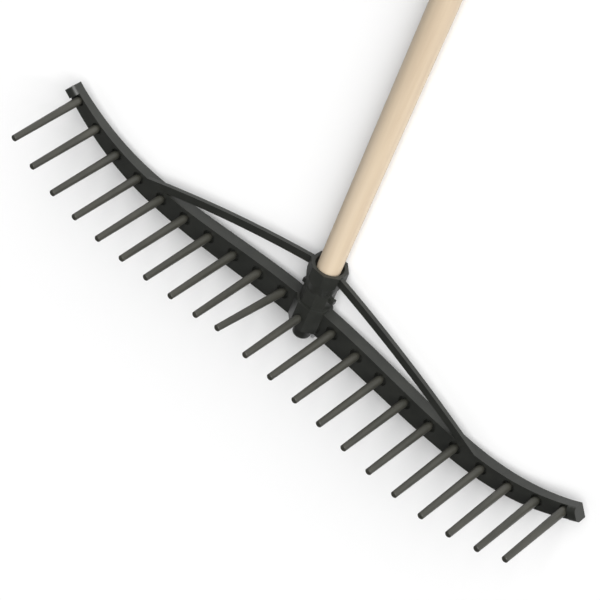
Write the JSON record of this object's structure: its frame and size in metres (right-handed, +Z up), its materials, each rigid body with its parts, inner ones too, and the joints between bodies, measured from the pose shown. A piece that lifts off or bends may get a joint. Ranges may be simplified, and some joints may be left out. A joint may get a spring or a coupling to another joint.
{
  "type": "hay rake",
  "caption": "Hand rake with a wide curved plastic head, separate round peg teeth, two braces and an eight-sided socket on a long plain wooden handle.",
  "frame": {"origin": "on the floor under the middle of the whole object, which lies on its back with the teeth up", "axes": "+X along the bar to the right, +Y along the handle to its free end, +Z up"},
  "size_m": [0.7034, 1.5, 0.1215],
  "materials": {
    "black_plastic": "moulded satin",
    "tooth_plastic": "moulded satin",
    "pale_wood": "sanded, bare",
    "steel": "zinc plated"
  },
  "bodies": {
    "root": {"head_bar": "black_plastic", "socket": "black_plastic", "brace_left": "black_plastic", "brace_right": "black_plastic", "handle": "pale_wood", "handle_screw": "steel", "tooth_01": "tooth_plastic", "tooth_02": "tooth_plastic", "tooth_03": "tooth_plastic", "tooth_04": "tooth_plastic", "tooth_05": "tooth_plastic", "tooth_06": "tooth_plastic", "tooth_07": "tooth_plastic", "tooth_08": "tooth_plastic", "tooth_09": "tooth_plastic", "tooth_10": "tooth_plastic", "tooth_11": "tooth_plastic", "tooth_12": "tooth_plastic", "tooth_13": "tooth_plastic", "tooth_14": "tooth_plastic", "tooth_15": "tooth_plastic", "tooth_16": "tooth_plastic", "tooth_17": "tooth_plastic", "tooth_18": "tooth_plastic", "tooth_19": "tooth_plastic", "tooth_20": "tooth_plastic", "tooth_21": "tooth_plastic"}
  },
  "joints": []
}
